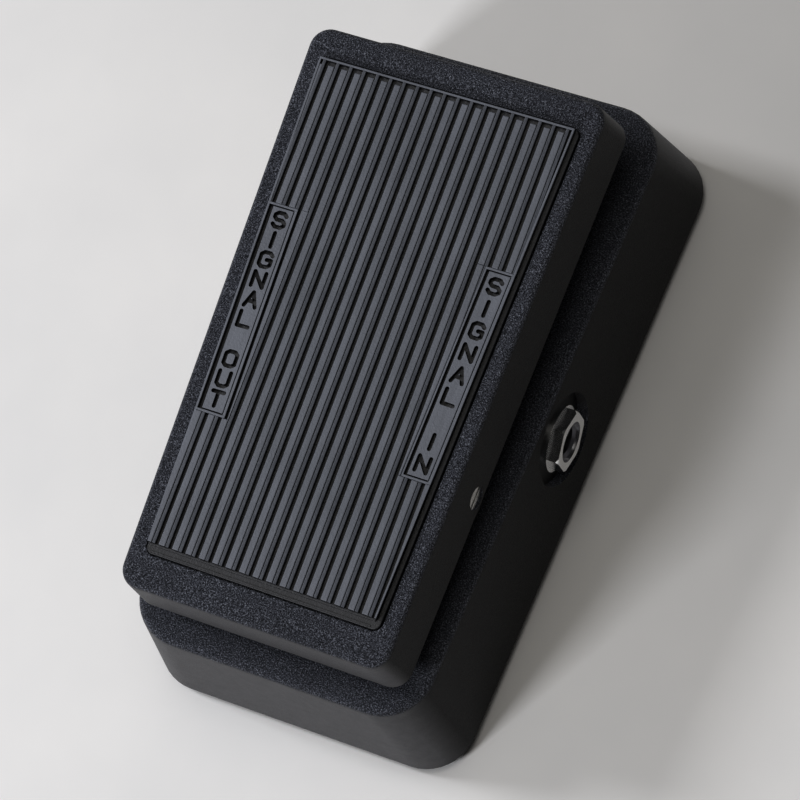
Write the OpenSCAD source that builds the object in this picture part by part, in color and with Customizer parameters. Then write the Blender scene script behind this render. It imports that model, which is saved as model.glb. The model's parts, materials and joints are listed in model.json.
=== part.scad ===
// Compact volume pedal: a drafted cast base, a rocking treadle with a ribbed mat, and a rack that
// turns a potentiometer. X is to the right, +Y is towards the toe, Z is up, and the feet stand on z = 0.

/* [Base] */
// Length of the base along its bottom edge
base_l = 155; // [153:1:158]
// Width of the base's bottom edge at the toe
base_toe_w = 88; // [87:1:90]
// Width of the base's bottom edge at the heel
base_heel_w = 78; // [77:1:80]
// Height of the base casting
base_h = 32.5; // [32:0.5:33.5]
// Plan radius of the base's corners at the bottom
base_corner_r = 11.5; // [10:0.5:13]
// How much the base's corner radius grows towards its top
base_soften = 4; // [3:0.5:5]
// Radius of the round along the base's top edge
base_edge_r = 2; // [1.5:0.5:3]
// Draft angle of the base's walls
base_draft = 6.5; // [6:0.5:7]
// Thickness of the base's walls
wall = 2.8; // [2.5:0.1:3.2]

/* [Treadle] */
// Width of the treadle's top at the toe
tread_toe_w = 71; // [70:1:72]
// Width of the treadle's top at the heel
tread_heel_w = 64; // [63:1:65]
// Reach of the treadle from the pivot to the toe edge
tread_toe = 88; // [86:1:89]
// Reach of the treadle from the pivot to the heel edge
tread_heel = 43; // [42:1:44]
// Depth of the treadle's pan from its top to its lower edge
tread_depth = 15.5; // [15:0.5:16]
// Height of the treadle's top above the pivot axis
tread_rise = 12.2; // [12:0.1:12.5]
// Angle of the treadle above level at rest
tread_tilt = 3.5; // [3:0.5:4]

/* [Mat] */
// Length of the rubber mat
mat_l = 116; // [112:1:118]
// Width of the mat at the toe
mat_toe_w = 62.6; // [61:0.2:64]
// Width of the mat at the heel
mat_heel_w = 56; // [55:0.2:57]
// Distance between the mat's ribs
rib_pitch = 3.25; // [3:0.05:3.5]

/* [Pivot and drive] */
// Distance of the pivot axis from the middle of the base, towards the heel
pivot_back = 24; // [23:1:25]
// Height of the pivot axis above the floor
pivot_z = 48; // [47.5:0.5:48.5]
// Diameter of the pivot rod
rod_d = 5.5; // [5:0.1:6]
// Distance from the pivot axis to the rack's pin
lever = 45; // [44:0.5:46]
// Number of teeth on the pinion
pinion_teeth = 12; // [12:1:13]

/* [Jacks and feet] */
// Height of the jacks above the floor
jack_z = 21.8; // [21:0.2:22]
// Radius of the bore that takes a 6.35 mm plug
jack_bore_r = 3.25; // [3.2:0.05:3.3]
// Height of the rubber feet
foot_h = 3; // [2.5:0.5:3]

/* [Hidden] */
$fn = 64;
eps = 0.01;
black = [0.06, 0.06, 0.065];
rubber_grey = [0.1, 0.1, 0.105];
corner_steps = 10;
edge_steps = 6;

top_t = 3;
roof_z = foot_h + base_h;
ceiling_z = roof_z - top_t;
plate_t = 1.5;
plate_gap = 0.2;
plate_inset = 1.5;
plate_top_z = foot_h + plate_t;

tread_l = tread_toe + tread_heel;
tread_mid = (tread_toe - tread_heel) / 2;
tread_draft = 4;
tread_corner_r = 3.5;
tread_soften = 1;
tread_edge_r = 1.4;
rod_end = 33.7;
rod_slot = 0.8;
tread_wall = 2.6;
tread_plate = 3.5;
tread_low = tread_rise - tread_depth;
tread_under = tread_rise - tread_plate;

mat_mid = 23;
mat_gap = 0.4;
mat_recess = 1.2;
mat_base_t = 1.6;
mat_corner_r = 2;
rib_h = 1.4;
rib_w = 1.9;
step_w = 0.7;
step_h = 0.7;
rim_w = 0.8;
rib_end = 2;
panel_w = 5.2;
panel_edge = 1.8;
panel_low = -1.5;
panel_high = 46.5;
panel_h = 1.1;
panel_line = 0.6;

bumper_t = 1.2;

ear_r = 7;
ear_out = 33.2;
ear_in = 28.4;
rod_r = rod_d / 2;
post_in = 20;
post_out = 26;
post_r = 7;
bush_r = 4;
flange_r = 5.6;
run_gap = 0.05;

foot_r = 6.5;
foot_toe = [32, 64];
foot_heel = [28, 64];
foot_places = [[foot_toe.x, foot_toe.y], [-foot_toe.x, foot_toe.y],
    [foot_heel.x, -foot_heel.y], [-foot_heel.x, -foot_heel.y]];
plate_boss_r = 4;
m3_r = 1.45;
m3_head_r = 2.6;
tap_r = 1.5;

jack_floor_x = 37.6;
pocket_r = 11;
jack_boss_r = 13;
jack_boss_t = 2.6;
bushing_r = 4.7;
bushing_out = 2.9;

rack_pin_r = 1.48;
rack_half = 2.5;
lug_in = 3;
lug_out = 6;
rack_y = -pivot_back + lever * cos(tread_tilt);
rack_top_z = pivot_z + lever * sin(tread_tilt);
rack_back = rack_y - 2.5;
rack_front = rack_y + 2;
gear_m = 0.8;
pressure = 25;
addendum = 0.8 * gear_m;
dedendum = 1.1 * gear_m;
backlash = 0.14;
pitch_r = gear_m * pinion_teeth / 2;
pitch_y = rack_front + dedendum;
pinion_y = pitch_y + pitch_r;
pinion_z = 22;
rack_low_z = 13;
tooth_top_z = 33;
bracket_x = 7.2;
bracket_t = 1.5;
case_x = bracket_x + bracket_t;
case_r = 8;
case_t = 7.5;
pot_bush_r = 3.5;
shaft_r = 3;
bracket_screw_x = 14;
bracket_screw_dy = 6;
guide_screw_x = 4.3;
guide_screw_y = 14.6;

// Outlines: a trapezoid with rounded corners, wider at the toe, in plan.
function taper(l, wt, wh) = atan((wt - wh) / 2 / l);
function toe_x(l, wt, wh, d) = let (t = taper(l, wt, wh)) wt / 2 - d * (1 + sin(t)) / cos(t);
function heel_x(l, wt, wh, d) = let (t = taper(l, wt, wh)) wh / 2 - d * (1 - sin(t)) / cos(t);
function arc(c, r, a0, a1) =
    [for (k = [0:corner_steps]) let (a = a0 + (a1 - a0) * k / corner_steps)
        [c.x + r * cos(a), c.y + r * sin(a)]];
function outline(l, wt, wh, r, inset) = let (
        rr = max(r - inset, 0.6),
        d = inset + rr,
        t = taper(l, wt, wh),
        xt = toe_x(l, wt, wh, d),
        xh = heel_x(l, wt, wh, d),
        y = l / 2 - d)
    concat(arc([xt, y], rr, -t, 90), arc([-xt, y], rr, 90, 180 + t),
        arc([-xh, -y], rr, 180 + t, 270), arc([xh, -y], rr, 270, 360 - t));
function lift(points, z) = [for (p = points) [p.x, p.y, z]];

// A closed skin over a stack of outlines with equal point counts, lowest first.
module loft(rings) {
    n = len(rings[0]);
    m = len(rings);
    points = [for (r = rings) each r];
    sides = [for (k = [0:m - 2], i = [0:n - 1]) let (
                a = k * n + i,
                b = k * n + (i + 1) % n)
            each [[a, a + n, b], [b, a + n, b + n]]];
    low = [[for (i = [0:n - 1]) i]];
    high = [[for (i = [n - 1:-1:0]) (m - 1) * n + i]];
    polyhedron(points, concat(low, sides, high), convexity = 6);
}

// Rings of a drafted wall that ends in a round edge. Insets grow upwards from the bottom outline.
function drafted(l, wt, wh, r, soften, h, draft, edge) = let (
        zc = h - edge,
        ic = tan(draft) * (zc + edge * sin(draft)) + edge * cos(draft))
    concat([lift(outline(l, wt, wh, r, 0), 0)],
        [for (k = [0:edge_steps]) let (a = draft + (90 - draft) * k / edge_steps)
            lift(outline(l, wt, wh, r + soften, ic - edge * cos(a)), zc + edge * sin(a))]);

module both_sides() {
    children();
    mirror([1, 0, 0]) children();
}

module along_x(x0, x1, r) {
    translate([x0, 0, 0]) rotate([0, 90, 0]) cylinder(h = x1 - x0, r = r);
}

module tube_x(x0, x1, r, bore) {
    difference() {
        along_x(x0, x1, r);
        along_x(x0 - 1, x1 + 1, bore);
    }
}

module at_pivot() {
    translate([0, -pivot_back, pivot_z]) children();
}

module in_treadle() {
    at_pivot() rotate([tread_tilt, 0, 0]) children();
}

module at_jack(side) {
    mirror([side < 0 ? 1 : 0, 0, 0]) translate([jack_floor_x, 0, jack_z]) children();
}

module at_pot() {
    translate([0, pinion_y, pinion_z]) children();
}

// Base
module base_outer() {
    translate([0, 0, foot_h])
        loft(drafted(base_l, base_toe_w, base_heel_w, base_corner_r, base_soften, base_h,
            base_draft, base_edge_r));
}

module base_cavity() {
    s = tan(base_draft);
    h = base_h - top_t;
    translate([0, 0, foot_h]) loft([
        lift(outline(base_l, base_toe_w, base_heel_w, base_corner_r, wall - s), -1),
        lift(outline(base_l, base_toe_w, base_heel_w, base_corner_r + base_soften, wall + s * h), h)]);
}

module plate_shape(inset, h) {
    linear_extrude(h) polygon(outline(base_l, base_toe_w, base_heel_w, base_corner_r, inset));
}

module base_posts() {
    both_sides() {
        at_pivot() along_x(post_in, post_out, post_r);
        translate([post_in, -pivot_back - post_r, roof_z - 1])
            cube([post_out - post_in, 2 * post_r, pivot_z - roof_z + 1]);
    }
}

module base_housing() {
    color(black) difference() {
        union() {
            difference() {
                base_outer();
                difference() {
                    base_cavity();
                    both_sides() at_jack(1) along_x(-jack_boss_t, 8, jack_boss_r);
                    for (p = foot_places) translate([p.x, p.y, plate_top_z]) cylinder(h = 40, r = plate_boss_r);
                }
            }
            base_posts();
        }
        translate([0, 0, foot_h - eps]) plate_shape(plate_inset, plate_t + eps);
        both_sides() at_jack(1) {
            along_x(0, 20, pocket_r);
            along_x(-10, 20, bushing_r + 0.15);
        }
        both_sides() at_pivot() along_x(post_in - 1, post_out + 1, bush_r);
        translate([-3.4, rack_back - 0.8, ceiling_z - 1]) cube([6.8, pitch_y + 2 - rack_back, top_t + 2]);
        for (s = [-1, 1]) {
            translate([s * guide_screw_x, guide_screw_y, ceiling_z - 1]) cylinder(h = top_t + 2, r = 1.4);
            translate([s * guide_screw_x, guide_screw_y, roof_z - 1.2]) cylinder(h = 2, r = 2.3);
            translate([bracket_screw_x, pinion_y + s * bracket_screw_dy, ceiling_z - 1])
                cylinder(h = top_t + 2, r = tap_r);
            translate([bracket_screw_x, pinion_y + s * bracket_screw_dy, roof_z - 1.2])
                cylinder(h = 2, r = m3_head_r + 0.1);
        }
        for (p = foot_places) translate([p.x, p.y, plate_top_z - 1]) cylinder(h = 12, r = tap_r);
    }
}

module bottom_plate() {
    color("dimgray") difference() {
        translate([0, 0, foot_h]) plate_shape(plate_inset + plate_gap, plate_t);
        for (p = foot_places) translate([p.x, p.y, 0]) cylinder(h = 10, r = 1.7);
    }
}

module rubber_feet() {
    color([0.08, 0.08, 0.08]) for (p = foot_places) translate([p.x, p.y, 0]) difference() {
        cylinder(h = foot_h, r1 = foot_r - 0.6, r2 = foot_r);
        translate([0, 0, -1]) cylinder(h = foot_h + 2, r = 1.7);
        translate([0, 0, -1]) cylinder(h = 2.2, r = m3_head_r + 0.4);
    }
}

module foot_screws() {
    color("silver") for (p = foot_places) translate([p.x, p.y, 0]) {
        difference() {
            translate([0, 0, 0.4]) cylinder(h = 0.8, r = m3_head_r);
            cylinder(h = 0.7, r = 1.2, $fn = 4);
        }
        translate([0, 0, 1.2 - eps]) cylinder(h = 10, r = m3_r);
    }
}

module pivot_bushings() {
    color("ivory") both_sides() at_pivot() {
        tube_x(post_in, post_out, bush_r - 0.02, rod_r + run_gap);
        tube_x(post_out, post_out + 1, flange_r, rod_r + run_gap);
    }
}

module thrust_washers() {
    color("silver") both_sides() at_pivot() tube_x(post_out + 1.1, ear_in - 0.3, 5, rod_r + run_gap);
}

module bumper(y0, y1) {
    translate([-14, y0, roof_z]) cube([28, y1 - y0, bumper_t]);
}

module toe_bumper() {
    color([0.08, 0.08, 0.08]) bumper(60, 65.5);
}

module heel_bumper() {
    color([0.08, 0.08, 0.08]) bumper(-65.5, -62);
}

// Jacks, drawn on the right-hand side with +X out of the mouth
module jack_frame() {
    difference() {
        union() {
            along_x(-jack_boss_t - 3, bushing_out, bushing_r);
            translate([-jack_boss_t - 1.2, -7, -9]) cube([1.2, 14, 16]);
            translate([-jack_boss_t - 14, -4, -9]) cube([14, 8, 1.2]);
        }
        along_x(-20, 20, jack_bore_r);
        translate([bushing_out - 0.6, 0, 0]) rotate([0, 90, 0])
            cylinder(h = 0.6 + eps, r1 = jack_bore_r, r2 = jack_bore_r + 0.6);
    }
}

module jack_insulators() {
    for (z = [-7.8, -6.2]) translate([-jack_boss_t - 13.5, -3.5, z + 0.02]) cube([8, 7, 0.96]);
}

module jack_tip_spring() {
    translate([-jack_boss_t - 18, -2, -6.8]) cube([14, 4, 0.58]);
    translate([-jack_boss_t - 18, -2, -6.4]) rotate([0, -62, 0]) cube([8, 4, 0.5]);
}

module jack_washer() {
    tube_x(0, 0.9, 7.8, bushing_r + 0.1);
}

module jack_nut() {
    difference() {
        intersection() {
            translate([0.9, 0, 0]) rotate([0, 90, 0]) cylinder(h = 2.6, r = 6.35 / cos(30), $fn = 6);
            translate([0.9, 0, 0]) rotate([0, 90, 0]) cylinder(h = 2.6, r1 = 8.6, r2 = 6.9);
        }
        along_x(0, 5, bushing_r + 0.03);
    }
}

module input_jack_frame() { color("gainsboro") at_jack(1) jack_frame(); }
module input_jack_insulators() { color("sienna") at_jack(1) jack_insulators(); }
module input_jack_tip_spring() { color("gold") at_jack(1) jack_tip_spring(); }
module input_jack_washer() { color("silver") at_jack(1) jack_washer(); }
module input_jack_nut() { color("white") at_jack(1) jack_nut(); }
module output_jack_frame() { color("gainsboro") at_jack(-1) jack_frame(); }
module output_jack_insulators() { color("sienna") at_jack(-1) jack_insulators(); }
module output_jack_tip_spring() { color("gold") at_jack(-1) jack_tip_spring(); }
module output_jack_washer() { color("silver") at_jack(-1) jack_washer(); }
module output_jack_nut() { color("white") at_jack(-1) jack_nut(); }

// Potentiometer, its bracket and the rack's guide
module pot_case() {
    color("silver") at_pot() difference() {
        union() {
            along_x(case_x, case_x + case_t, case_r);
            along_x(bracket_x - 3.4, case_x, pot_bush_r);
        }
        along_x(case_x + 1, case_x + case_t - 0.6, case_r - 0.6);
        along_x(0, case_x + 2, shaft_r + run_gap);
        translate([case_x + 1, -6.5, -10]) cube([2.2, 13, 6]);
    }
}

module pot_element() {
    color("sienna") at_pot() {
        tube_x(case_x + 1.1, case_x + 2.3, case_r - 0.8, shaft_r + 0.4);
        for (y = [-5, 0, 5]) translate([case_x + 1.3, y - 0.8, -12]) cube([0.8, 1.6, 6.5]);
    }
}

module pot_washer() {
    color("silver") at_pot() tube_x(bracket_x - 0.6, bracket_x, 5.5, pot_bush_r + 0.1);
}

module pot_nut() {
    color("silver") at_pot() difference() {
        translate([bracket_x - 2.6, 0, 0]) rotate([0, 90, 0]) cylinder(h = 2, r = 5 / cos(30), $fn = 6);
        along_x(0, 10, pot_bush_r + 0.05);
    }
}

module pot_bracket() {
    color("gray") difference() {
        union() {
            translate([bracket_x, pinion_y - 9, pinion_z - 9]) cube([bracket_t, 18, ceiling_z - pinion_z + 9]);
            translate([bracket_x, pinion_y - 9, ceiling_z - 1.5]) cube([11.5, 18, 1.5]);
        }
        at_pot() along_x(0, 20, pot_bush_r + 0.1);
        for (s = [-1, 1]) translate([bracket_screw_x, pinion_y + s * bracket_screw_dy, 20])
            cylinder(h = 20, r = tap_r);
    }
}

module flat_screw(head_r, r, l) {
    difference() {
        cylinder(h = 1.1, r = head_r);
        translate([-0.4, -head_r, 0.6]) cube([0.8, 2 * head_r, 1]);
    }
    translate([0, 0, -l]) cylinder(h = l + eps, r = r);
}

module bracket_screws() {
    color("dimgray") for (s = [-1, 1])
        translate([bracket_screw_x, pinion_y + s * bracket_screw_dy, roof_z - 1.2])
            flat_screw(m3_head_r, m3_r, 3.4);
}

module rack_guide() {
    color("ivory") difference() {
        translate([-6.5, rack_back - 6, 18]) cube([13, 9, ceiling_z - 18]);
        translate([-rack_half - 0.15, rack_back - 0.15, 10]) cube([2 * rack_half + 0.3, 10, 40]);
        for (s = [-1, 1]) translate([s * guide_screw_x, guide_screw_y, 22]) cylinder(h = 20, r = 1.1);
    }
}

module guide_screws() {
    color("dimgray") for (s = [-1, 1]) translate([s * guide_screw_x, guide_screw_y, roof_z - 1.2])
        flat_screw(2.2, 1.05, 8);
}

// Wires: a tube swept along a smooth curve through a few route points
wire_r = 0.65;
wire_sides = 8;
wire_steps = 4;
tip_x = jack_floor_x - jack_boss_t - 17;
tip_z = jack_z - 7.5;
sleeve_z = jack_z - 9.7;
lug_x = case_x + 1.7;
lug_z = pinion_z - 12.7;
input_route = [[tip_x, 1, tip_z], [tip_x + 1, 6, tip_z - 4], [17, 13, 9], [14.5, 20, 10],
    [lug_x, pinion_y - 5, lug_z]];
output_route = [[-tip_x, 1, tip_z], [-tip_x, 6, tip_z - 5], [-10, 11, 8], [-1, 11, 7], [8, 12, 6],
    [13, 20, 5.7], [13, 27, 5.9], [lug_x, pinion_y, lug_z]];
ground_route = [[30, 2, sleeve_z], [28, 12, 8], [24, 26, 7], [17, 34, 6.5], [lug_x, pinion_y + 5, lug_z]];
sleeve_route = [[30, -1, sleeve_z], [24, -9, 8], [8, -12, 6.5], [-8, -12, 6.5], [-24, -9, 8],
    [-30, -1, sleeve_z]];

function unit(v) = v / norm(v);
function bend(a, b, c, d, t) =
    (2 * b + (c - a) * t + (2 * a - 5 * b + 4 * c - d) * t * t + (3 * b - a - 3 * c + d) * t * t * t) / 2;
function smooth(r) = let (n = len(r) - 1) concat(
    [for (i = [0:n - 1], k = [0:wire_steps - 1])
        bend(r[max(i - 1, 0)], r[i], r[i + 1], r[min(i + 2, n)], k / wire_steps)], [r[n]]);
function tangents(p) = let (n = len(p) - 1)
    [for (i = [0:n]) unit(p[min(i + 1, n)] - p[max(i - 1, 0)])];
function carry(t, i, u) = i >= len(t) ? [] :
    let (v = unit(u - (u * t[i]) * t[i])) concat([v], carry(t, i + 1, v));

module wire(route) {
    p = smooth(route);
    t = tangents(p);
    u = carry(t, 0, abs(t[0].y) < 0.9 ? [0, 1, 0] : [1, 0, 0]);
    loft([for (i = [0:len(p) - 1]) let (w = cross(t[i], u[i]))
        [for (k = [0:wire_sides - 1]) let (a = 360 * k / wire_sides)
            p[i] + wire_r * (u[i] * cos(a) + w * sin(a))]]);
}

module input_wire() { color("firebrick") wire(input_route); }
module output_wire() { color("royalblue") wire(output_route); }
module ground_wire() {
    color("dimgray") {
        wire(ground_route);
        wire(sleeve_route);
    }
}

// Treadle, drawn with the pivot axis at the origin and its top level
module tread_outer() {
    s = tan(tread_draft);
    grow = tread_depth * s;
    translate([0, tread_mid, tread_low]) loft(drafted(tread_l + 2 * grow, tread_toe_w + 2 * grow,
        tread_heel_w + 2 * grow, tread_corner_r + grow, tread_soften, tread_depth, tread_draft,
        tread_edge_r));
}

module tread_cavity() {
    s = tan(tread_draft);
    low = tread_depth * s;
    h = tread_depth - tread_plate;
    translate([0, tread_mid, tread_low]) loft([
        lift(outline(tread_l, tread_toe_w, tread_heel_w, tread_corner_r, tread_wall - low - s), -1),
        lift(outline(tread_l, tread_toe_w, tread_heel_w, tread_corner_r, tread_wall - low + s * h), h)]);
}

module mat_shape(inset, h) {
    translate([0, mat_mid, 0]) linear_extrude(h)
        polygon(outline(mat_l, mat_toe_w, mat_heel_w, mat_corner_r, inset));
}

module treadle_pan() {
    color(black) in_treadle() difference() {
        union() {
            difference() {
                tread_outer();
                difference() {
                    tread_cavity();
                    both_sides() along_x(ear_in, 40, ear_r);
                    both_sides() translate([ear_in, -ear_r, 0]) cube([10, 2 * ear_r, 20]);
                    both_sides() translate([lug_in, lever - 3.6, 0]) cube([lug_out - lug_in, 7.2, 20]);
                }
            }
            both_sides() along_x(ear_in, ear_out, ear_r);
            both_sides() translate([0, lever, 0]) along_x(lug_in, lug_out, 3.6);
        }
        translate([0, 0, tread_rise - mat_recess]) mat_shape(-mat_gap, 5);
        along_x(-60, 60, rod_r + 0.02);
        translate([0, lever, 0]) along_x(-10, 10, rack_pin_r + 0.02);
        both_sides() translate([31, 0, -10]) cylinder(h = 10, r = tap_r);
    }
}

module rib(x) {
    translate([x - rib_w / 2, -100, mat_base_t - eps]) cube([rib_w, 200, rib_h + eps]);
    translate([x + rib_w / 2 - eps, -100, mat_base_t - eps]) cube([step_w, 200, step_h + eps]);
}

module label_panel() {
    length = panel_high - panel_low;
    translate([0, panel_low, mat_base_t - eps]) {
        cube([panel_w, length, panel_h - 0.5]);
        difference() {
            cube([panel_w, length, panel_h]);
            translate([panel_line, panel_line, -1])
                cube([panel_w - 2 * panel_line, length - 2 * panel_line, 4]);
        }
    }
}

module at_panel(side) {
    lean = taper(mat_l, mat_toe_w, mat_heel_w);
    mirror([side < 0 ? 1 : 0, 0, 0]) rotate([0, 0, -lean])
        translate([mat_heel_w / 2 + 1 - panel_edge - panel_w, 0, 0]) children();
}

module tread_mat() {
    count = floor(mat_toe_w / rib_pitch / 2) + 1;
    color(rubber_grey) in_treadle() translate([0, 0, tread_rise - mat_recess]) {
        mat_shape(0, mat_base_t);
        difference() {
            intersection() {
                mat_shape(rib_end, 10);
                for (k = [-count:count]) rib((k - 0.5) * rib_pitch);
            }
            for (s = [-1, 1]) at_panel(s) translate([0, panel_low - 0.4, mat_base_t - eps])
                cube([20, panel_high - panel_low + 0.8, 10]);
        }
        for (s = [-1, 1]) at_panel(s) label_panel();
        difference() {
            translate([0, 0, mat_base_t - eps]) mat_shape(0.4, step_h + eps);
            mat_shape(0.4 + rim_w, 10);
        }
    }
}

module pivot_rod() {
    color("silver") at_pivot() difference() {
        along_x(-rod_end, rod_end, rod_r);
        both_sides() translate([rod_end - rod_slot, -4, -rod_slot / 2]) cube([2, 8, rod_slot]);
    }
}

module rod_set_screws() {
    color("dimgray") in_treadle() both_sides() translate([31, 0, -6.9]) difference() {
        cylinder(h = 4.1, r = m3_r);
        translate([0, 0, -1]) cylinder(h = 2.2, r = 0.8, $fn = 6);
    }
}

module rack_pin() {
    color("silver") in_treadle() translate([0, lever, 0]) along_x(-6.3, 6.3, rack_pin_r);
}

// Rack and pinion: straight rack flanks that match an involute pinion
module rack_tooth() {
    pitch = PI * gear_m;
    half = pitch / 4 - backlash / 2;
    polygon([[-dedendum - 0.2, half + (dedendum + 0.2) * tan(pressure)],
        [addendum, half - addendum * tan(pressure)],
        [addendum, -half + addendum * tan(pressure)],
        [-dedendum - 0.2, -half - (dedendum + 0.2) * tan(pressure)]]);
}

module gear_rack() {
    pitch = PI * gear_m;
    first = ceil((rack_low_z + 1 - pinion_z) / pitch);
    last = floor((tooth_top_z - pinion_z) / pitch);
    slot_y = rack_y - 0.3;
    color("ivory") difference() {
        union() {
            translate([-rack_half, rack_back, rack_low_z])
                cube([2 * rack_half, rack_front - rack_back, rack_top_z - rack_low_z]);
            translate([-rack_half, rack_back - 2, rack_top_z - 4]) cube([2 * rack_half, 8.5, 7.6]);
            translate([-rack_half, pitch_y, pinion_z]) rotate([90, 0, 90]) linear_extrude(2 * rack_half)
                for (k = [first:last]) translate([0, k * pitch]) rack_tooth();
        }
        translate([0, slot_y, rack_top_z]) {
            for (s = [-0.65, 0.65]) translate([0, s, 0]) along_x(-10, 10, rack_pin_r + 0.17);
            translate([-10, -0.65, -rack_pin_r - 0.17]) cube([20, 1.3, 2 * rack_pin_r + 0.34]);
        }
    }
}

function roll_angle(r, base) = sqrt(pow(r / base, 2) - 1) * 180 / PI - acos(base / r);
function flank(r, base, half) = r <= base ? half + roll_angle(pitch_r, base) :
    half + roll_angle(pitch_r, base) - roll_angle(r, base);

module pinion_profile() {
    base = pitch_r * cos(pressure);
    tip = pitch_r + addendum;
    root = pitch_r - dedendum;
    half = 90 / pinion_teeth - backlash / 2 / pitch_r * 180 / PI;
    steps = 6;
    flank_r = [for (k = [0:steps]) max(base, root) + (tip - max(base, root)) * k / steps];
    gap = 180 / pinion_teeth;
    polygon([for (n = [0:pinion_teeth - 1]) let (mid = 360 * n / pinion_teeth) each concat(
        [let (a = mid - gap) [root * cos(a), root * sin(a)]],
        [let (a = mid - flank(base, base, half)) [root * cos(a), root * sin(a)]],
        [for (k = [0:steps]) let (a = mid - flank(flank_r[k], base, half))
            [flank_r[k] * cos(a), flank_r[k] * sin(a)]],
        [for (k = [steps:-1:0]) let (a = mid + flank(flank_r[k], base, half))
            [flank_r[k] * cos(a), flank_r[k] * sin(a)]],
        [let (a = mid + flank(base, base, half)) [root * cos(a), root * sin(a)]])]);
}

module pot_pinion() {
    // A tooth space faces the rack tooth that stands level with the axis.
    color("ivory") at_pot() difference() {
        translate([-3, 0, 0]) rotate([90, 0, 90]) linear_extrude(6)
            rotate(180 + 180 / pinion_teeth) pinion_profile();
        along_x(-10, 10, shaft_r + 0.02);
    }
}

module pot_shaft() {
    color("silver") at_pot() along_x(-3.6, case_x + 3.2, shaft_r);
}

module pot_wiper() {
    color("goldenrod") at_pot() {
        tube_x(case_x + 3.3, case_x + 4.5, 4.5, 1.2);
        translate([case_x + 2.5, 3.6, -0.8]) cube([2, 2.6, 1.6]);
    }
}

base_housing();
bottom_plate();
rubber_feet();
foot_screws();
pivot_bushings();
thrust_washers();
toe_bumper();
heel_bumper();
input_jack_frame();
input_jack_insulators();
input_jack_tip_spring();
input_jack_washer();
input_jack_nut();
output_jack_frame();
output_jack_insulators();
output_jack_tip_spring();
output_jack_washer();
output_jack_nut();
pot_case();
pot_element();
pot_washer();
pot_nut();
pot_bracket();
bracket_screws();
rack_guide();
guide_screws();
input_wire();
output_wire();
ground_wire();
treadle_pan();
tread_mat();
pivot_rod();
rod_set_screws();
rack_pin();
gear_rack();
pot_shaft();
pot_pinion();
pot_wiper();
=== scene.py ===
import json
import math
import bmesh
import bpy
from mathutils import Matrix, Vector


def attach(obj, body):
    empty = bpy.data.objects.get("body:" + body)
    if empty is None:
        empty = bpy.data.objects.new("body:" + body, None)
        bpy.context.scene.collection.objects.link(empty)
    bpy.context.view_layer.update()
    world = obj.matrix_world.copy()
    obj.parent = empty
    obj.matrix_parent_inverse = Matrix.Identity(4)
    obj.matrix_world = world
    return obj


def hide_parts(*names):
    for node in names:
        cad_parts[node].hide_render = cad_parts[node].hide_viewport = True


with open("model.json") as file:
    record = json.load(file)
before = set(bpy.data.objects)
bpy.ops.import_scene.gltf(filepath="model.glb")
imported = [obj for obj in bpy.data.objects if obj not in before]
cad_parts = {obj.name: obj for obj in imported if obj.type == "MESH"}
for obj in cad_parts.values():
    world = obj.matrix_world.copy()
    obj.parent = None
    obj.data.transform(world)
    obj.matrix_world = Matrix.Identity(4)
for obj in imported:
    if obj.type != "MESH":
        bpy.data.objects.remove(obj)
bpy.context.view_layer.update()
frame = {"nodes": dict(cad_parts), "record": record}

MM = 0.001
nodes = frame["nodes"]
scene = bpy.context.scene
scene.view_settings.view_transform = "Standard"
scene.view_settings.gamma = 0.8

# The camera: the photograph's viewing angle, rolled as the pedal leans in it.
CAM_AZIMUTH = math.radians(58.6)
CAM_ELEVATION = math.radians(66.9)
CAM_ROLL = math.radians(-38.8)
CAM_DISTANCE = 0.809
CAM_TARGET = Vector((0.0084, -0.0078, 0.045))
CAM_LENS = 166.9

# The treadle's own frame: the pivot axis at its origin, its top level.
PIVOT = Vector((0, -24 * MM, 48 * MM))
TILT = math.radians(3.5)
TREAD = Matrix.Translation(PIVOT) @ Matrix.Rotation(TILT, 4, "X")
TREAD_TOP = 12.2
RECESS = 1.2

# The mat, in millimetres along the treadle. Heights named TOP are above the sheet's top, and SUNK is where
# the raised pieces start, just inside the sheet.
MAT_LOW, MAT_HIGH = -35.0, 81.0
MAT_HEEL_HALF, MAT_TOE_HALF = 28.0, 31.3
MAT_BASE = 1.6
SUNK = MAT_BASE - 0.1
RIB_PITCH = 3.25
RIB_PHASE = -1.61
RIB_WIDE, RIB_SLIT, RIB_NARROW = 1.52, 0.08, 0.66
RIDGE_FALL = 0.5
RIB_TOP, RIDGE_TOP = 1.4, 1.22
RIM_IN, RIM_W = 0.2, 0.55
RIM_RIGHT = 1.0
TOE_GAP = 1.0
HEEL_LEDGE = 2.3
PANEL_LOW, PANEL_HIGH = -1.5, 45.6
PANEL_EDGE, PANEL_W = 1.8, 5.0
PANEL_TOP = 1.35
PANEL_GROOVE = 0.75
FRAME_REACH = 0.8
FRAME_W = 0.45
BAR_W = 0.55


def link(name, mesh, material=None):
    o = bpy.data.objects.new(name, mesh)
    scene.collection.objects.link(o)
    if material:
        mesh.materials.append(material)
    return o


# Camera, light and floor

def make_camera():
    data = bpy.data.cameras.new("camera")
    data.lens = CAM_LENS
    data.sensor_width = 36
    cam = bpy.data.objects.new("camera", data)
    scene.collection.objects.link(cam)
    flat = math.cos(CAM_ELEVATION)
    back = Vector((math.sin(CAM_AZIMUTH) * flat, -math.cos(CAM_AZIMUTH) * flat, math.sin(CAM_ELEVATION)))
    right = (-back).cross(Vector((0, 0, 1))).normalized()
    up = back.cross(right)
    turned = right * math.cos(CAM_ROLL) + up * math.sin(CAM_ROLL)
    raised = back.cross(turned)
    cam.matrix_world = Matrix.Translation(CAM_TARGET + back * CAM_DISTANCE) @ Matrix(
        (turned, raised, back)).transposed().to_4x4()
    scene.camera = cam


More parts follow.
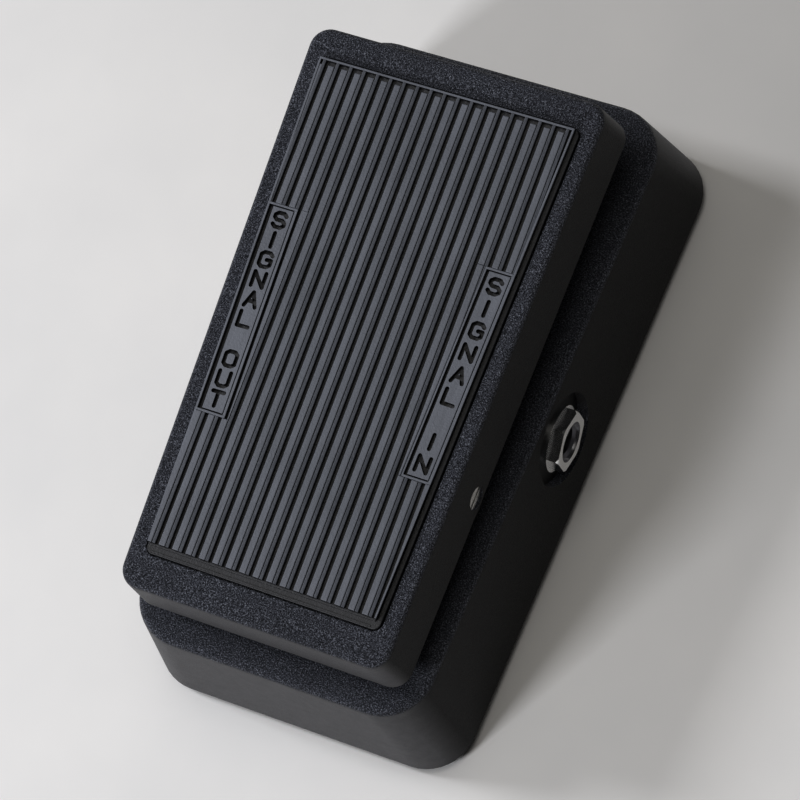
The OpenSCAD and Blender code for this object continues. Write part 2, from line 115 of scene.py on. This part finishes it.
def area(name, place, aim, size, watts, tint=(1, 1, 1)):
    data = bpy.data.lights.new(name, "AREA")
    data.shape = "RECTANGLE"
    data.size, data.size_y = size
    data.energy = watts
    data.color = tint
    lamp = bpy.data.objects.new(name, data)
    scene.collection.objects.link(lamp)
    lamp.location = place
    lamp.rotation_euler = (Vector(place) - Vector(aim)).to_track_quat("Z", "Y").to_euler()


def make_world(strength):
    world = bpy.data.worlds.new("world")
    scene.world = world
    world.use_nodes = True
    background = world.node_tree.nodes["Background"]
    background.inputs["Color"].default_value = (1, 0.975, 0.93, 1)
    background.inputs["Strength"].default_value = strength


# Materials: each is procedural, in object coordinates, in metres.

class Nodes:
    """A material's node tree with short names for the nodes that every finish uses."""

    def __init__(self, name, base, roughness, metallic=0.0, specular=0.5):
        self.material = bpy.data.materials.new(name)
        self.material.use_nodes = True
        self.tree = self.material.node_tree
        self.bsdf = self.tree.nodes["Principled BSDF"]
        self.bsdf.inputs["Base Color"].default_value = (*base, 1)
        self.bsdf.inputs["Roughness"].default_value = roughness
        self.bsdf.inputs["Metallic"].default_value = metallic
        self.bsdf.inputs["Specular IOR Level"].default_value = specular
        self.place = self.tree.nodes.new("ShaderNodeTexCoord").outputs["Object"]

    def join(self, a, b):
        self.tree.links.new(a, b)

    def stretch(self, scale):
        node = self.tree.nodes.new("ShaderNodeMapping")
        node.inputs["Scale"].default_value = scale
        self.join(self.place, node.inputs["Vector"])
        return node.outputs["Vector"]

    def noise(self, scale, detail=2.0, rough=0.55, at=None):
        node = self.tree.nodes.new("ShaderNodeTexNoise")
        node.inputs["Scale"].default_value = scale
        node.inputs["Detail"].default_value = detail
        node.inputs["Roughness"].default_value = rough
        self.join(at or self.place, node.inputs["Vector"])
        return node.outputs["Fac"]

    def ramp(self, value, stops):
        node = self.tree.nodes.new("ShaderNodeValToRGB")
        band = node.color_ramp
        while len(band.elements) < len(stops):
            band.elements.new(0.5)
        for element, (at, colour) in zip(band.elements, stops):
            element.position = at
            element.color = (*colour, 1)
        self.join(value, node.inputs["Fac"])
        return node.outputs["Color"]

    def span(self, value, low, high, to_low, to_high):
        node = self.tree.nodes.new("ShaderNodeMapRange")
        for key, number in zip(("From Min", "From Max", "To Min", "To Max"), (low, high, to_low, to_high)):
            node.inputs[key].default_value = number
        self.join(value, node.inputs["Value"])
        return node.outputs["Result"]

    def math(self, operation, a, b):
        node = self.tree.nodes.new("ShaderNodeMath")
        node.operation = operation
        for socket, value in zip(node.inputs, (a, b)):
            if isinstance(value, (int, float)):
                socket.default_value = value
            else:
                self.join(value, socket)
        return node.outputs["Value"]

    def mix(self, factor, a, b):
        node = self.tree.nodes.new("ShaderNodeMix")
        node.data_type = "RGBA"
        self.join(factor, node.inputs["Factor"])
        for socket, value in ((node.inputs["A"], a), (node.inputs["B"], b)):
            if isinstance(value, tuple):
                socket.default_value = (*value, 1)
            else:
                self.join(value, socket)
        return node.outputs["Result"]

    def colour(self, value):
        self.join(value, self.bsdf.inputs["Base Color"])

    def roughness(self, value):
        self.join(value, self.bsdf.inputs["Roughness"])

    def bump(self, height, distance, strength=1.0):
        node = self.tree.nodes.new("ShaderNodeBump")
        node.inputs["Strength"].default_value = strength
        node.inputs["Distance"].default_value = distance
        self.join(height, node.inputs["Height"])
        self.join(node.outputs["Normal"], self.bsdf.inputs["Normal"])


def powder_coat():
    """Black powder coat, coloured by which way each face looks: sand-textured and bluish on the faces that
    look up, its bright grains partly the coat's texture and partly painted glints; a smooth, lighter grey
    painted sheen on the end faces; and painted shade, flat and dark, on the long sides."""
    n = Nodes("powder_coat", (0.03, 0.031, 0.037), 0.5, specular=0.2)
    split = n.tree.nodes.new("ShaderNodeSeparateXYZ")
    n.join(n.tree.nodes.new("ShaderNodeTexCoord").outputs["Normal"], split.inputs[0])
    up = n.span(split.outputs["Z"], 0.25, 0.6, 0.0, 1.0)
    end = n.span(n.math("ABSOLUTE", split.outputs["Y"], 0), 0.25, 0.75, 0.0, 1.0)
    grain = n.noise(3300, 2.0, 0.6)
    fine = n.noise(5200, 1.5)
    patch = n.noise(45, 3)
    height = n.math("ADD", grain, n.math("MULTIPLY", fine, 0.25))
    # Bright grains: partly the coat's sand texture, partly painted glints of the lamps.
    speck_and_glint = n.ramp(grain, [(0.3, (0.013, 0.014, 0.018)), (0.46, (0.046, 0.049, 0.062)),
                           (0.58, (0.120, 0.128, 0.158)), (0.72, (0.36, 0.38, 0.45))])
    top = n.mix(n.span(patch, 0.35, 0.7, 0.0, 0.2), speck_and_glint, (0.020, 0.020, 0.025))
    # Painted sheen: the end faces are coloured lighter grey, standing in for the light they catch.
    painted_end_sheen = n.ramp(n.noise(400, 4), [(0.3, (0.086, 0.086, 0.092)), (0.7, (0.106, 0.106, 0.113))])
    # Painted shade: the long sides are coloured darker than the faces that look up.
    painted_side_shade = n.ramp(grain, [(0.3, (0.007, 0.007, 0.008)), (0.7, (0.014, 0.014, 0.015))])
    # The colour follows which way the face looks, so light and shade are painted in rather than a change in
    # the coat.
    n.colour(n.mix(up, n.mix(end, painted_side_shade, painted_end_sheen), top))
    n.roughness(n.math("SUBTRACT", n.span(grain, 0.3, 0.7, 0.56, 0.44), n.math("MULTIPLY", up, 0.08)))
    n.bump(n.math("MULTIPLY", height, n.span(up, 0.0, 1.0, 0.1, 1.0)), 0.0007)
    return n.material


def mat_rubber(name, low, high):
    """Charcoal rubber, semi-matt, dusty in places on top, with a fine moulded grain. Every face that doesn't
    look up is painted near black, a painted shade on the sides of the ribs and panels.
    """
    n = Nodes(name, high, 0.5, specular=0.45)
    cloud = n.noise(60, 4)
    grain = n.noise(1900, 2)
    streak = n.noise(500, 2, at=n.stretch((1, 0.04, 1)))
    tone = n.ramp(cloud, [(0.3, low), (0.7, high)])
    split = n.tree.nodes.new("ShaderNodeSeparateXYZ")
    n.join(n.tree.nodes.new("ShaderNodeTexCoord").outputs["Normal"], split.inputs[0])
    top = n.mix(n.span(streak, 0.45, 0.75, 0.0, 0.4), tone, tuple(v * 1.25 for v in high))
    # Painted shade: faces that don't look up get a near-black colour, whatever the rubber's own tone.
    n.colour(n.mix(n.span(split.outputs["Z"], 0.2, 0.7, 0.0, 1.0), (0.016, 0.016, 0.019), top))
    n.roughness(n.span(cloud, 0.3, 0.7, 0.45, 0.56))
    n.bump(n.math("ADD", n.math("MULTIPLY", grain, 0.8), n.math("MULTIPLY", streak, 0.5)), 0.00012)
    return n.material


def foot_rubber():
    n = Nodes("foot_rubber", (0.02, 0.02, 0.02), 0.7)
    grain = n.noise(1500, 3)
    n.colour(n.ramp(n.noise(120, 3), [(0.3, (0.014, 0.014, 0.015)), (0.75, (0.035, 0.034, 0.033))]))
    n.roughness(n.span(grain, 0.3, 0.7, 0.6, 0.8))
    n.bump(grain, 0.0001)
    return n.material


def metal(name, tint, dark, low, high, grain=(1, 1, 1), depth=0.00002):
    """A bare or plated metal with fine grain along one direction, soft tarnish and tiny scratches."""
    n = Nodes(name, tint, (low + high) / 2, metallic=1.0)
    fine = n.noise(2500, 2, at=n.stretch(grain))
    cloud = n.noise(220, 4)
    n.colour(n.mix(n.span(cloud, 0.4, 0.75, 0.0, 0.6), tint, dark))
    n.roughness(n.span(fine, 0.3, 0.7, low, high))
    n.bump(fine, depth)
    return n.material


def plastic(name, tint, deep, low, high, scale=300, specular=0.5):
    """Moulded plastic, fibre board or paint with a slightly uneven tone and a fine skin."""
    n = Nodes(name, tint, (low + high) / 2, specular=specular)
    cloud = n.noise(scale, 4)
    fine = n.noise(scale * 9, 2)
    n.colour(n.mix(n.span(cloud, 0.35, 0.7, 0.0, 1.0), tint, deep))
    n.roughness(n.span(fine, 0.3, 0.7, low, high))
    n.bump(fine, 0.00003)
    return n.material


def floor_paper():
    n = Nodes("floor_paper", (0.84, 0.84, 0.84), 0.95, specular=0.1)
    n.colour(n.ramp(n.noise(14, 4), [(0.3, (0.77, 0.77, 0.785)), (0.7, (0.83, 0.825, 0.835))]))
    return n.material


def make_materials():
    return {
        "black_casting": powder_coat(),
        "mat_rubber": mat_rubber("mat_rubber", (0.114, 0.123, 0.150), (0.152, 0.163, 0.196)),
        # A much darker copy of the mat rubber: painted shade for the sheet at the bottom of the grooves and
        # the heel's low lines.
        "mat_painted_shade": mat_rubber("mat_painted_shade", (0.016, 0.017, 0.021), (0.034, 0.035, 0.042)),
        "foot_rubber": foot_rubber(),
        "plate_steel": plastic("plate_paint", (0.022, 0.022, 0.024), (0.03, 0.03, 0.032), 0.4, 0.55, 400),
        "zinc_screw": metal("zinc", (0.62, 0.62, 0.60), (0.42, 0.42, 0.43), 0.28, 0.45),
        "black_screw": metal("black_oxide", (0.07, 0.07, 0.075), (0.03, 0.03, 0.03), 0.35, 0.5),
        "nickel": metal("nickel", (0.96, 0.965, 0.98), (0.84, 0.85, 0.87), 0.2, 0.27),
        # A dark copy of nickel for the jack frames: painted shade in the jack holes.
        "nickel_painted_shade": metal("nickel_painted_shade", (0.20, 0.20, 0.22), (0.12, 0.12, 0.13), 0.35, 0.5),
        "bright_steel": metal("bright_steel", (0.72, 0.71, 0.70), (0.50, 0.49, 0.48), 0.22, 0.38,
                              (0.05, 1, 1)),
        "nylon": plastic("nylon", (0.78, 0.76, 0.68), (0.70, 0.67, 0.58), 0.35, 0.5),
        "phenolic": plastic("phenolic", (0.26, 0.13, 0.06), (0.16, 0.08, 0.035), 0.4, 0.6, 500),
        "spring_brass": metal("spring_brass", (0.78, 0.60, 0.28), (0.55, 0.40, 0.18), 0.2, 0.35),
        "red_wire": plastic("red_wire", (0.5, 0.03, 0.02), (0.4, 0.02, 0.02), 0.25, 0.4),
        "blue_wire": plastic("blue_wire", (0.03, 0.08, 0.45), (0.02, 0.06, 0.35), 0.25, 0.4),
        "black_wire": plastic("black_wire", (0.02, 0.02, 0.02), (0.03, 0.03, 0.03), 0.25, 0.4),
    }


# Mesh helpers

def soften(mesh, limit=math.radians(28)):
    """Smooth shading over the facets that meet at less than the limit, larger facets counting for more."""
    meeting = {}
    for face in mesh.polygons:
        for corner in face.loop_indices:
            place = mesh.vertices[mesh.loops[corner].vertex_index].co
            key = tuple(round(c / MM, 2) for c in place)
            meeting.setdefault(key, []).append((corner, face.normal, face.area))
    normals = [None] * len(mesh.loops)
    for corners in meeting.values():
        for corner, normal, _ in corners:
            near = [other * size for _, other, size in corners if other.dot(normal) > math.cos(limit)]
            normals[corner] = sum(near, Vector()).normalized()
    mesh.shade_smooth()
    mesh.normals_split_custom_set(normals)


def halfplane_clip(points, origin, inward):
    """The part of a convex outline on the side of a line that inward points to."""
    out = []
    for a, b in zip(points, points[1:] + points[:1]):
        da, db = (a - origin).dot(inward), (b - origin).dot(inward)
        if da >= 0:
            out.append(a)
        if (da >= 0) != (db >= 0):
            out.append(a + (b - a) * (da / (da - db)))
    return out


def shrink(points, by):
    """A convex outline, counter-clockwise, with each side moved inwards."""
    out = points
    for a, b in zip(points, points[1:] + points[:1]):
        side = (b - a).normalized()
        inward = Vector((-side.y, side.x))
        out = halfplane_clip(out, a + inward * by, inward)
    return out


def widest(points):
    return max((a - b).length for a in points for b in points) if points else 0


def add_prism(bm, points, low, high, bevel, fall=0.0):
    """A closed prism over a convex outline, its top edge bevelled in two steps.

    fall is how steeply the top drops towards the right."""
    inner = shrink(points, bevel)
    if len(inner) != len(points):
        bevel = bevel * 0.3
        inner = shrink(points, bevel)
    if len(inner) != len(points):
        return
    middle = shrink(points, bevel * 0.3)
    left = min(p.x for p in points)
    rings = [(points, low, 0), (points, high - bevel, fall),
             (middle, high - bevel * 0.3, fall), (inner, high, fall)]
    made = [[bm.verts.new((p.x * MM, p.y * MM, (z - (p.x - left) * slope) * MM)) for p in outline]
            for outline, z, slope in rings]
    for lower, upper in zip(made, made[1:]):
        for i in range(len(points)):
            j = (i + 1) % len(points)
            bm.faces.new((lower[i], lower[j], upper[j], upper[i]))
    bm.faces.new(list(reversed(made[0])))
    bm.faces.new(made[-1])


def rounded_outline(low, high, heel_half, toe_half, radius, inset=0.0, steps=8):
    """The mat's outline: a trapezoid with round corners, counter-clockwise from the toe's right."""
    r = max(radius - inset, 0.3)
    d = inset + r
    lean = math.atan((toe_half - heel_half) / (high - low))
    toe_x = toe_half - d * (1 + math.sin(lean)) / math.cos(lean)
    heel_x = heel_half - d * (1 - math.sin(lean)) / math.cos(lean)
    out = []
    for x, y, a0, a1 in ((toe_x, high - d, -lean, math.pi / 2),
                         (-toe_x, high - d, math.pi / 2, math.pi + lean),
                         (-heel_x, low + d, math.pi + lean, 1.5 * math.pi),
                         (heel_x, low + d, 1.5 * math.pi, 2 * math.pi - lean)):
        for k in range(steps + 1):
            a = a0 + (a1 - a0) * k / steps
            out.append(Vector((x + r * math.cos(a), y + r * math.sin(a))))
    return out


def loft(bm, rings):
    """A closed skin over (outline, z) rings, lowest first."""
    made = [[bm.verts.new((p.x * MM, p.y * MM, z * MM)) for p in outline] for outline, z in rings]
    count = len(made[0])
    for lower, upper in zip(made, made[1:]):
        for i in range(count):
            j = (i + 1) % count
            bm.faces.new((lower[i], lower[j], upper[j], upper[i]))
    bm.faces.new(list(reversed(made[0])))
    bm.faces.new(made[-1])


def mesh_from(bm, name):
    bmesh.ops.recalc_face_normals(bm, faces=bm.faces)
    mesh = bpy.data.meshes.new(name)
    bm.to_mesh(mesh)
    bm.free()
    return mesh


def applied(o):
    """The object's mesh with its modifiers applied, as a new mesh."""
    bpy.context.view_layer.update()
    return bpy.data.meshes.new_from_object(o.evaluated_get(bpy.context.evaluated_depsgraph_get()))


# The mat

def mat_half(v):
    return MAT_HEEL_HALF + (MAT_TOE_HALF - MAT_HEEL_HALF) * (v - MAT_LOW) / (MAT_HIGH - MAT_LOW)


LEAN = math.atan((MAT_TOE_HALF - MAT_HEEL_HALF) / (MAT_HIGH - MAT_LOW))
PANEL_OUT = mat_half(0) - PANEL_EDGE
PANEL_IN = PANEL_OUT - PANEL_W


def side_line(x_at_zero, side):
    """(a point, the inward normal) of a line along one side of the mat, parallel to its edge."""
    inward = Vector((-side * math.cos(LEAN), math.sin(LEAN)))
    return Vector((side * x_at_zero, 0)), inward


def rim_in(side):
    """How far the raised part of the mat stops inside its edge, on each side."""
    return RIM_RIGHT if side > 0 else RIM_IN


def strip(x0, x1, low, high, inset=0.0):
    """What is left of a rib's outline between the raised part's two sides."""
    points = [Vector((x0, low)), Vector((x1, low)), Vector((x1, high)), Vector((x0, high))]
    for side in (1, -1):
        points = halfplane_clip(points, *side_line(mat_half(0) - rim_in(side) - inset, side))
    return points


def rib_parts(x0, x1, low, high):
    """A rib's outlines, with the label panels and their frames left free."""
    if max(abs(x0), abs(x1)) < PANEL_IN - 3:
        return [strip(x0, x1, low, high)]
    side = 1 if x0 + x1 > 0 else -1
    free = PANEL_GROOVE + FRAME_W if side > 0 else PANEL_GROOVE + RIB_SLIT + RIB_NARROW
    inner = strip(x0, x1, max(low, PANEL_LOW - FRAME_REACH), min(high, PANEL_HIGH + FRAME_REACH))
    edge, inward = side_line(PANEL_IN - free, side)
    if all((p - edge).dot(inward) > 0 for p in inner):
        return [strip(x0, x1, low, high)]
    inner = halfplane_clip(inner, edge, inward)
    return [strip(x0, x1, low, PANEL_LOW - FRAME_REACH), inner, strip(x0, x1, PANEL_HIGH + FRAME_REACH, high)]


def add_ribs(bm):
    """Each rib is a wide flat bar with a thin lower ridge along its right side."""
    count = int(MAT_TOE_HALF / RIB_PITCH) + 1
    toe = MAT_HIGH - RIM_IN - RIM_W
    heel = MAT_LOW + HEEL_LEDGE
    for k in range(-count, count + 1):
        left = k * RIB_PITCH + RIB_PHASE - RIB_WIDE / 2
        ridge = left + RIB_WIDE + RIB_SLIT
        runs = [(left, left + RIB_WIDE, heel, toe - TOE_GAP, RIB_TOP, 0.2, 0.03),
                (ridge, ridge + RIB_NARROW, heel, toe + 0.1, RIDGE_TOP, 0.1, RIDGE_FALL),
                (left + 0.1, ridge + 0.1, heel + 0.1, toe - TOE_GAP - 0.1, RIDGE_TOP - 0.2, 0.05, 0)]
        for x0, x1, low, high, top, bevel, fall in runs:
            for points in rib_parts(x0, x1, low, high):
                if len(points) > 2 and widest(points) > 1.5:
                    add_prism(bm, points, SUNK, MAT_BASE + top, bevel, fall)


def add_rim(bm):
    """The thin raised line along the toe and both sides."""
    for side in (1, -1):
        outer = side_line(mat_half(0) - rim_in(side), side)
        inner = side_line(mat_half(0) - rim_in(side) - RIM_W, side)
        box = [Vector((-40, MAT_LOW + HEEL_LEDGE)), Vector((40, MAT_LOW + HEEL_LEDGE)),
               Vector((40, MAT_HIGH - RIM_IN)), Vector((-40, MAT_HIGH - RIM_IN))]
        points = halfplane_clip(halfplane_clip(box, *outer), inner[0], -inner[1])
        add_prism(bm, points, SUNK, MAT_BASE + RIDGE_TOP - 0.04, 0.12)
    toe = strip(-40, 40, MAT_HIGH - RIM_IN - RIM_W, MAT_HIGH - RIM_IN, 0.1)
    add_prism(bm, toe, SUNK, MAT_BASE + RIDGE_TOP, 0.14)


def add_ledge(bm):
    """The two low lines along the heel's ledge."""
    low = strip(-40, 40, MAT_LOW + HEEL_LEDGE - 0.5, MAT_LOW + HEEL_LEDGE + 0.05, 0.3)
    add_prism(bm, low, SUNK, MAT_BASE + 0.35, 0.1)
    edge = strip(-40, 40, MAT_LOW + 0.3, MAT_LOW + 0.75, 1.0)
    add_prism(bm, edge, SUNK, MAT_BASE + 0.2, 0.06)


# Stroke letters on a grid 4 wide and 6 high, each a chain of points.
GLYPHS = {
    "S": [((4, 5), (3, 6), (1, 6), (0, 5), (0, 4), (1, 3), (3, 3), (4, 2), (4, 1), (3, 0), (1, 0), (0, 1))],
    "I": [((2, 0), (2, 6))],
    "G": [((4, 5), (3, 6), (1, 6), (0, 5), (0, 1), (1, 0), (3, 0), (4, 1), (4, 3), (2.4, 3))],
    "N": [((0, 0), (0, 6), (4, 0), (4, 6))],
    "A": [((0, 0), (2, 6), (4, 0)), ((0.8, 2.2), (3.2, 2.2))],
    "L": [((0, 6), (0, 0), (4, 0))],
    "O": [((1, 0), (0, 1), (0, 5), (1, 6), (3, 6), (4, 5), (4, 1), (3, 0), (1, 0))],
    "U": [((0, 6), (0, 1), (1, 0), (3, 0), (4, 1), (4, 6))],
    "T": [((2, 0), (2, 6)), ((0, 6), (4, 6))],
    " ": [],
}
GLYPH_W, GLYPH_H, STROKE = 2.65, 3.25, 0.92
GLYPH_DEPTH = 1.5
GLYPH_MARGIN = 0.4


def add_stroke(bm, a, b, low, high):
    """A closed bar from a to b with round ends."""
    along = (b - a).normalized()
    across = Vector((-along.y, along.x))
    points = []
    for end, way in ((b, 1), (a, -1)):
        for k in range(7):
            t = math.pi * (k / 6 - 0.5)
            points.append(end + (along * math.cos(t) + across * math.sin(t)) * way * STROKE / 2)
    made = [[bm.verts.new((p.x * MM, p.y * MM, z * MM)) for p in points] for z in (low, high)]
    for i in range(len(points)):
        j = (i + 1) % len(points)
        bm.faces.new((made[0][i], made[0][j], made[1][j], made[1][i]))
    bm.faces.new(list(reversed(made[0])))
    bm.faces.new(made[1])


def panel_place(side, x, v):
    """A point at x from a panel's inner edge and v along the mat, on the line of the mat's edge."""
    return Vector((side * (PANEL_IN + x + v * math.tan(LEAN)), v))


def panel_block(side, x0, x1, v0, v1):
    corners = [panel_place(side, x, v) for x, v in ((x0, v0), (x1, v0), (x1, v1), (x0, v1))]
    return corners if side > 0 else corners[::-1]


def make_panel(side, word, material):
    """A flat label panel with a generic word sunk into it, one letter above the other."""
    bm = bmesh.new()
    add_prism(bm, panel_block(side, 0, PANEL_W, PANEL_LOW, PANEL_HIGH), SUNK, MAT_BASE + PANEL_TOP, 0.12)
    panel = link("label_panel_right" if side > 0 else "label_panel_left", mesh_from(bm, "panel"), material)
    tools = bmesh.new()
    step = (PANEL_HIGH - PANEL_LOW - 2 * GLYPH_MARGIN) / len(word)
    for i, letter in enumerate(word):
        middle = panel_place(side, PANEL_W / 2, PANEL_HIGH - GLYPH_MARGIN - step * (i + 0.5))
        turn = Matrix.Rotation(-side * LEAN, 2)
        for chain in GLYPHS[letter]:
            ends = [middle + turn @ Vector(((x / 4 - 0.5) * GLYPH_W, (y / 6 - 0.5) * GLYPH_H))
                    for x, y in chain]
            for a, b in zip(ends, ends[1:]):
                add_stroke(tools, a, b, MAT_BASE + PANEL_TOP - GLYPH_DEPTH, MAT_BASE + PANEL_TOP + 1)
    tool = link("tool", mesh_from(tools, "tool"))
    m = panel.modifiers.new("cut", "BOOLEAN")
    m.operation = "DIFFERENCE"
    m.solver = "EXACT"
    m.use_self = True
    m.object = tool
    mesh = applied(panel)
    panel.modifiers.clear()
    panel.data = mesh
    bpy.data.objects.remove(tool)
    return panel


def add_frames(bm):
    """The thin bars round the panels: a bar across each end, and a ridge along one side."""
    for side in (1, -1):
        reach = PANEL_EDGE + PANEL_W - rim_in(side)
        inner = -PANEL_GROOVE - FRAME_W if side > 0 else -RIB_SLIT - RIB_NARROW
        for v in (PANEL_LOW - FRAME_REACH, PANEL_HIGH + 0.25):
            add_prism(bm, panel_block(side, inner, reach, v, v + BAR_W), SUNK, MAT_BASE + RIDGE_TOP, 0.1)
    low, high = PANEL_LOW - 0.3, PANEL_HIGH + 0.3
    add_prism(bm, panel_block(1, -PANEL_GROOVE - FRAME_W, -PANEL_GROOVE, low, high), SUNK,
              MAT_BASE + RIDGE_TOP, 0.1)
    add_prism(bm, panel_block(-1, -RIB_SLIT - RIB_NARROW, -RIB_SLIT, low, high), SUNK,
              MAT_BASE + RIDGE_TOP, 0.1)
    add_prism(bm, panel_block(1, PANEL_W + RIB_SLIT, PANEL_EDGE + PANEL_W - RIM_RIGHT, low, high), SUNK,
              MAT_BASE + RIDGE_TOP, 0.1)
    add_prism(bm, panel_block(-1, -0.3, 0.2, low, high), SUNK, MAT_BASE + RIDGE_TOP - 0.35, 0.05)
    add_prism(bm, panel_block(1, PANEL_W - 0.2, PANEL_W + 0.3, low, high), SUNK,
              MAT_BASE + RIDGE_TOP - 0.35, 0.05)


def on_mat(o):
    o.data.transform(TREAD @ Matrix.Translation((0, 0, (TREAD_TOP - RECESS) * MM)))
    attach(o, "treadle")


def make_mat(material, painted_shade_material):
    bm = bmesh.new()
    outline = dict(low=MAT_LOW, high=MAT_HIGH, heel_half=MAT_HEEL_HALF, toe_half=MAT_TOE_HALF, radius=1.6)
    loft(bm, [(rounded_outline(**outline, inset=inset), z) for inset, z in
              ((0.0, 0.0), (0.0, MAT_BASE - 0.2), (0.06, MAT_BASE - 0.06), (0.2, MAT_BASE))])
    # The sheet takes the darker copy of the rubber, a painted shade in the grooves.
    sheet = link("mat_sheet", mesh_from(bm, "mat_sheet"), painted_shade_material)
    pieces = [sheet]
    # The heel's low lines take the darker copy too, painted shade.
    for name, fill, finish in (("mat_ribs", add_ribs, material), ("mat_rim", add_rim, material),
                               ("mat_frames", add_frames, material), ("mat_ledge", add_ledge, painted_shade_material)):
        bm = bmesh.new()
        fill(bm)
        pieces.append(link(name, mesh_from(bm, name), finish))
    pieces += [make_panel(1, "SIGNAL IN", material), make_panel(-1, "SIGNAL OUT", material)]
    for o in pieces:
        on_mat(o)
    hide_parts("tread_mat")


make_camera()
materials = make_materials()
slots = {s["node"]: s["material_slot"] for s in frame["record"]["subparts"]}
for name, o in nodes.items():
    o.data.materials.clear()
    # Jack frames get the dark copy of nickel, painted shade; every other part takes its slot's material.
    o.data.materials.append(materials["nickel_painted_shade" if name.endswith("jack_frame") else slots[name]])
    soften(o.data)
make_mat(materials["mat_rubber"], materials["mat_painted_shade"])

bm = bmesh.new()
bmesh.ops.create_grid(bm, x_segments=1, y_segments=1, size=3)
floor = link("floor", mesh_from(bm, "floor"), floor_paper())
area("left", (-0.68, -0.03, 0.73), (0, 0, 0.03), (0.22, 0.22), 4.2, (0.985, 0.99, 1))
area("heel", (-0.34, -0.71, 0.616), (0, 0, 0.03), (0.2, 0.2), 4.6, (0.985, 0.99, 1))
area("top", (0.05, 0.1, 1.2), (0, 0, 0.03), (0.7, 0.7), 4.3, (1, 0.97, 0.9))
make_world(0.045)
